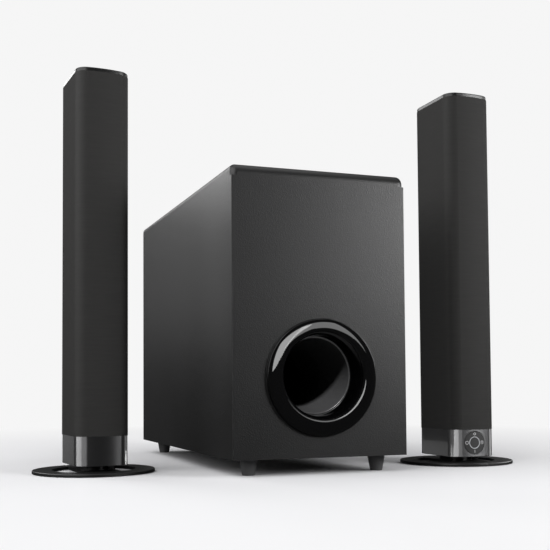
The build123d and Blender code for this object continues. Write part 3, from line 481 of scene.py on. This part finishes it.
def rounded_outline(width, height, radius, steps=5):
    """Corners of a rounded rectangle about the origin."""
    points = []
    for k, (sx, sy) in enumerate(((1, 1), (-1, 1), (-1, -1), (1, -1))):
        for i in range(steps + 1):
            a = math.pi / 2 * (k + i / steps)
            points.append((sx * (width / 2 - radius) + radius * math.cos(a),
                           sy * (height / 2 - radius) + radius * math.sin(a)))
    return points


def make_pad_marks():
    """Four plain signs round the control pad: diamond, hexagon, barred square and stroke."""
    column = COLUMNS["right"]
    face = Face("control_pad", centre("centre_button"), column.right, column.front)
    reach = 9.4 * MM
    stroke = 0.6 * MM
    half = 1.6 * MM
    left, right = (-reach, 0), (reach, 0)
    square = [(right[0] + half * x, half * y) for x, y in ((-1, -1), (1, -1), (1, 1), (-1, 1))]
    shapes = outline_strokes(polygon((0, reach), 1.75 * MM, 4, 0, 0.8), stroke)
    shapes += outline_strokes(polygon(left, 1.9 * MM, 6, 30), stroke)
    shapes += outline_strokes(square, 0.4 * MM)
    shapes += [bar((right[0] - half, half * k), (right[0] + half, half * k), 0.4 * MM)
               for k in (-0.35, 0.35)]
    shapes.append(bar((0, -reach - 1.6 * MM), (0, -reach + 1.6 * MM), 0.7 * MM))
    finish(marks("pad_marks", face, shapes), "pad", MATERIALS["marks"])


def rear_face(node):
    """A rear-facing node's outer face; its across runs to the right as seen from behind."""
    middle = centre(node)
    middle.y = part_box(node)[1].y
    return Face(node, middle, (-1, 0, 0), (0, 1, 0))


def make_dial_ticks():
    """Printed scale round each rear knob: eleven ticks over its turn, longer at the ends."""
    face = rear_face("amp_plate")
    turn, count = 150, 11
    shapes = []
    for knob in ("volume_knob", "bass_knob"):
        away = centre(knob) - face.middle
        x, y = away.dot(face.across), away.dot(face.up)
        for k in range(count):
            a = math.radians(90 + turn - 2 * turn * k / (count - 1))
            ends = [11.4 * MM, (13.6 if k in (0, count // 2, count - 1) else 12.7) * MM]
            shapes.append(bar(*[(x + r * math.cos(a), y + r * math.sin(a)) for r in ends],
                              0.5 * MM))
    finish(marks("dial_ticks", face, shapes, 0.04 * MM), BASE, MATERIALS["print"])


def make_knob_pointers():
    """White bar let into the groove of each rear knob."""
    for knob, body in (("volume_knob", "volume_control"), ("bass_knob", "bass_control")):
        face = rear_face(knob)
        radius = (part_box(knob)[1].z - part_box(knob)[0].z) / 2
        shape = bar((0, radius - 5.2 * MM), (0, radius - 1.2 * MM), 1.1 * MM)
        piece = marks(f"{knob}_pointer", face, [shape], 0.45 * MM)
        finish(piece, body, MATERIALS["print"])


PHONO_PITCH = 13 * MM


def phono_places():
    """Axes of the six phono sockets, three across and two down, at their mouths."""
    low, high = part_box("audio_sockets")
    middle = (low + high) / 2
    return [(Vector((middle.x - column * PHONO_PITCH, high.y, middle.z + row * PHONO_PITCH)), row)
            for column in (-1, 0, 1) for row in (-0.5, 0.5)]


def make_phono_shells():
    """Nickelled shell round each socket, and its coloured collar at the plate."""
    outward = (0, 1, 0)
    shell = [(4.16, -5.3), (4.3, -5.2), (4.3, -0.25), (4.15, 0.0), (3.75, 0.06), (3.6, -0.05)]
    collar = [(4.3, -6.7), (5.35, -6.7), (5.35, -5.6), (5.05, -5.3), (4.3, -5.3)]
    for k, (mouth, row) in enumerate(phono_places()):
        piece = turned_ring(f"phono_shell_{k + 1}", [(r * MM, h * MM) for r, h in shell],
                            mouth, outward)
        finish(piece, BASE, MATERIALS["nickel"])
        ring = turned_ring(f"phono_collar_{k + 1}", [(r * MM, h * MM) for r, h in collar],
                           mouth, outward)
        finish(ring, BASE, MATERIALS["red" if row < 0 else "white"])


def make_socket_frame():
    """Printed frame round the sockets."""
    face = rear_face("amp_plate")
    away = centre("audio_sockets") - face.middle
    x, y = away.dot(face.across), away.dot(face.up)
    edge = [(x + px, y + py) for px, py in rounded_outline(47 * MM, 33 * MM, 3 * MM)]
    shapes = outline_strokes(edge, 0.4 * MM)
    piece = marks("socket_frame", face, shapes, 0.04 * MM)
    finish(piece, BASE, MATERIALS["print"])


def make_inlet_pins():
    """Plated sleeve over each pin of the mains inlet, with a chamfered tip."""
    low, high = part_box("mains_inlet")
    middle = (low + high) / 2
    shroud_x, drop, gap = 9 * MM, 1.5 * MM, 7 * MM
    shroud_depth, pin_length = 17 * MM, 9.5 * MM
    tip = high.y - shroud_depth + pin_length
    for k, (across, rise) in enumerate(((-gap, 0), (0, 4 * MM), (gap, 0))):
        place = Vector((middle.x + shroud_x + across, tip, middle.z - drop + rise))
        verts, faces = [], []
        for depth, spare in ((-9 * MM, 0.08 * MM), (-1 * MM, 0.08 * MM), (0.1 * MM, -0.4 * MM)):
            for sx, sz in ((-1, -1), (1, -1), (1, 1), (-1, 1)):
                verts.append(place + Vector((sx * (1 * MM + spare), depth,
                                             sz * (2 * MM + spare))))
        for row in (0, 4):
            faces += [(row + i, row + 4 + i, row + 4 + (i + 1) % 4, row + (i + 1) % 4)
                      for i in range(4)]
        faces += [(0, 1, 2, 3), (11, 10, 9, 8)]
        piece = mesh_object(f"inlet_pin_{k + 1}", verts, faces, 20)
        finish(piece, BASE, MATERIALS["nickel"])


def make_rocker_marks():
    """Stroke and ring on the two halves of the mains rocker."""
    face = rear_face("power_rocker")
    ring = outline_strokes(polygon((0, -5 * MM), 1.5 * MM, 20), 0.35 * MM)
    stroke = bar((0, 3.6 * MM), (0, 6.4 * MM), 0.4 * MM)
    piece = marks("rocker_marks", face, ring + [stroke], 0.05 * MM)
    finish(piece, "power_switch", MATERIALS["print"])


def make_cloth_seams():
    """Lapped seam down the back of each cloth sleeve, with a row of stitches."""
    lap, proud = 5 * MM, 0.35 * MM
    stitch, pitch = 2.4 * MM, 4.2 * MM
    for side, column in COLUMNS.items():
        low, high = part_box(f"{side}_grille")
        back = Face(f"{side}_grille", column.at(0, 0, (low.z + high.z) / 2) - column.front * 0.05,
                    -column.right, -column.front)
        half = (high.z - low.z) / 2 - 0.5 * MM
        strip = [(-lap / 2, -half), (lap / 2, -half), (lap / 2, half), (-lap / 2, half)]
        piece = marks(f"{side}_cloth_seam", back, [strip], proud)
        finish(piece, f"{side}_column", MATERIALS["cloth"])
        count = int(2 * half / pitch)
        rows = [-half + pitch * (k + 0.5) for k in range(count)]
        threads = [bar((0, z - stitch / 2), (0, z + stitch / 2), 0.5 * MM) for z in rows]
        piece = marks(f"{side}_seam_stitches", back, threads, proud + 0.2 * MM)
        finish(piece, f"{side}_column", MATERIALS["thread"])


def make_details():
    """Everything the CAD leaves to the looks."""
    bpy.context.view_layer.update()
    make_pad_marks()
    make_dial_ticks()
    make_knob_pointers()
    make_phono_shells()
    make_socket_frame()
    make_inlet_pins()
    make_rocker_marks()
    make_cloth_seams()


# ---------------------------------------------------------------- stage, lights and camera

WHITE = 0.92                   # radiance of the seamless background
AMBIENT = 0.03                 # radiance of the dim studio round the set
FLOOR_BOUNCE = 0.27            # how much of its light the floor gives back to the set
FLOOR_MIRROR, MIRROR_HAZE = 0.08, 0.22
LIT_FLOOR, WHITE_FLOOR = 0.25, 1.0  # distances from the middle of the set
AIM = Vector((0, -0.1, 0.25))
LIGHT_DISTANCE = 1.5


def make_stage():
    """Pale floor that runs out into the white background; glossy pieces don't mirror it."""
    reach = 8.0
    corners = [(-reach, -reach, 0), (reach, -reach, 0), (reach, reach, 0), (-reach, reach, 0)]
    floor = mesh_object("studio_floor", corners, [(0, 1, 2, 3)], 80)
    s = Shader("studio_floor")
    s.tree.nodes.remove(s.surface)
    place = s.coordinates()
    matt = s.node("BsdfDiffuse")
    seen = s.node("LightPath").outputs["Is Camera Ray"]
    paint = s.ramp(s.noise(place, 3, 2), grey(0.88), grey(0.90), 0.3, 0.7)
    held_back = s.node("VectorMath", operation="SCALE")
    s.link(paint, held_back.inputs[0])
    s.link(s.spread(seen, FLOOR_BOUNCE, 1), held_back.inputs["Scale"])
    s.link(held_back.outputs[0], matt.inputs["Color"])
    mirror = s.node("BsdfAnisotropic")
    mirror.inputs["Color"].default_value = (1, 1, 1, 1)
    mirror.inputs["Roughness"].default_value = MIRROR_HAZE
    near = s.node("MixShader")
    near.inputs["Fac"].default_value = FLOOR_MIRROR
    s.link(matt.outputs[0], near.inputs[1])
    s.link(mirror.outputs[0], near.inputs[2])
    far = s.node("Emission")
    s.link(s.spread(seen, AMBIENT, WHITE), far.inputs["Strength"])
    distance = s.node("VectorMath", operation="LENGTH")
    s.link(place, distance.inputs[0])
    fade = s.spread(distance.outputs["Value"], 0, 1, LIT_FLOOR, WHITE_FLOOR)
    both = s.node("MixShader")
    s.link(fade, both.inputs["Fac"])
    s.link(near.outputs[0], both.inputs[1])
    s.link(far.outputs[0], both.inputs[2])
    s.link(both.outputs[0], s.tree.nodes["Material Output"].inputs["Surface"])
    floor.data.materials.append(s.material)
    floor.visible_glossy = False


def make_world():
    """Seamless white where the camera looks past the set; dim surroundings for everything else."""
    world = bpy.data.worlds.new("studio")
    bpy.context.scene.world = world
    world.use_nodes = True
    tree = world.node_tree
    background = tree.nodes["Background"]
    rays = tree.nodes.new("ShaderNodeLightPath")
    seen = tree.nodes.new("ShaderNodeMix")
    seen.inputs["A"].default_value = AMBIENT
    seen.inputs["B"].default_value = WHITE
    tree.links.new(rays.outputs["Is Camera Ray"], seen.inputs["Factor"])
    background.inputs["Color"].default_value = (1, 1, 1, 1)
    tree.links.new(seen.outputs["Result"], background.inputs["Strength"])


def softbox(name, place, target, width, height, radiance, flagged=(), only=()):
    """A soft rectangular light of even radiance that faces its target.

    Flagged pieces are kept out of its light. Pieces in only are all that it lights, and
    nothing else stands in its way.
    """
    data = bpy.data.lights.new(name, "AREA")
    data.shape = "RECTANGLE"
    data.size, data.size_y = width, height
    data.energy = radiance * math.pi * width * height
    lamp = bpy.data.objects.new(name, data)
    lamp.location = place
    lamp.rotation_euler = (Vector(target) - Vector(place)).to_track_quat("-Z", "Y").to_euler()
    lamp.visible_camera = False
    bpy.context.scene.collection.objects.link(lamp)
    if flagged or only:
        receivers = bpy.data.collections.new(f"{name}_receivers")
        for node in only or frame["nodes"]:
            if node not in flagged:
                receivers.objects.link(frame["nodes"][node])
        for piece in bpy.context.scene.objects:
            if not only and piece.type == "MESH" and piece.name not in frame["nodes"]:
                receivers.objects.link(piece)
        lamp.light_linking.receiver_collection = receivers
        if only:
            lamp.light_linking.blocker_collection = receivers


def around(bearing, height):
    """A place round the set: bearing in degrees from the front to the right, height in degrees."""
    turn, rise = math.radians(bearing), math.radians(height)
    return AIM + LIGHT_DISTANCE * Vector((math.sin(turn) * math.cos(rise),
                                          -math.cos(turn) * math.cos(rise), math.sin(rise)))


def make_lights():
    """Soft panels for the whole set, and cards that shape the gloss of single pieces."""
    left, right = ("left_foot_band",), ("right_foot_band",)
    flare, tube = ("port_flare",), ("port_tube",)
    grilles = ("left_grille", "right_grille")
    softbox("top_panel", (0, -0.1, 2.0), (0, 0, 0), 1.8, 1.8, 0.93, flagged=flare + tube)
    # name, bearing, height, width, height of the panel, radiance, flagged, only
    for name, bearing, height, width, tall, radiance, flagged, only in (
        ("left_panel", -70, 29, 2.5, 1.7, 2.3, flare + tube + left + right, ()),
        ("front_right_key", 44, 12, 0.6, 0.6, 14.0, flare + tube, ()),
        ("rear_left_edge", -150, 25, 0.6, 0.6, 4.9, grilles, ()),
        ("rear_left_low", -150, 4, 0.6, 0.3, 0.6, grilles + left + right, ()),
        ("right_edge", 80, 10, 0.6, 0.6, 3.0, flare, ()),
        ("right_fill", 120, 15, 0.6, 0.6, 3.0, (), ()),
        ("port_highlight", -10, 19, 1.25, 1.0, 4.1, (), flare),
        ("port_crescent", 24, 22, 0.9, 1.0, 1.8, (), flare),
        ("tube_spot", -20, 48, 0.2, 0.2, 330.0, (), tube),
        ("grille_card", -95, 20, 1.2, 1.0, 2.3, (), grilles),
        ("left_grille_card", 20, 12, 0.8, 0.8, 2.4, (), ("left_grille",)),
        ("right_grille_card", -125, 12, 0.8, 0.8, 3.0, (), ("right_grille",)),
        ("left_band_face", -168, 2, 0.6, 0.9, 0.9, (), left),
        ("left_band_stripe", -84, 2, 1.4, 0.9, 7.0, (), left),
        ("left_band_fade", -37, 2, 1.2, 0.9, 3.0, (), left),
        ("left_band_edge", 112, 2, 0.6, 0.9, 14.0, (), left),
        ("right_band_face", -158, 2, 0.6, 0.9, 1.0, (), right),
        ("right_band_stripe", -78, 2, 1.4, 0.9, 11.0, (), right),
        ("right_band_fade", -33, 2, 1.1, 0.9, 8.0, (), right),
        ("right_band_front", 5, 2, 0.8, 0.9, 2.6, (), right),
        ("right_band_edge", 85, 2, 0.6, 0.9, 3.6, (), right),
    ):
        softbox(name, around(bearing, height), AIM, width, tall, radiance, flagged, only)


LENS_FACTOR = 922.5 / 550      # focal length over picture width
YAW, PITCH, ROLL = 20.33, 2.53, -0.40  # degrees: heading from +Y to the right, rise, lean
CABINET = centre("cabinet_bottom")
EYE = Vector((CABINET.x - 0.3597, CABINET.y - 1.0358, 0.0871))
SHIFT_Y = 0.128


def make_camera():
    """Camera low in front, to the left, looking slightly up and shifted down."""
    data = bpy.data.cameras.new("camera")
    data.sensor_width = 36
    data.lens = 36 * LENS_FACTOR
    data.shift_y = SHIFT_Y
    data.clip_start, data.clip_end = 0.05, 50
    yaw, pitch, roll = map(math.radians, (YAW, PITCH, ROLL))
    ahead = Vector((math.sin(yaw) * math.cos(pitch), math.cos(yaw) * math.cos(pitch),
                    math.sin(pitch)))
    level = Vector((math.cos(yaw), -math.sin(yaw), 0))
    upright = level.cross(ahead)
    right = level * math.cos(roll) + upright * math.sin(roll)
    up = upright * math.cos(roll) - level * math.sin(roll)
    camera = bpy.data.objects.new("camera", data)
    turn = Matrix((right, up, -ahead)).transposed().to_4x4()
    camera.matrix_world = Matrix.Translation(EYE) @ turn
    bpy.context.scene.collection.objects.link(camera)
    bpy.context.scene.camera = camera


dress_nodes()
make_details()
make_stage()
make_world()
make_lights()
make_camera()
bpy.context.scene.view_settings.view_transform = "Standard"

bpy.context.view_layer.update()
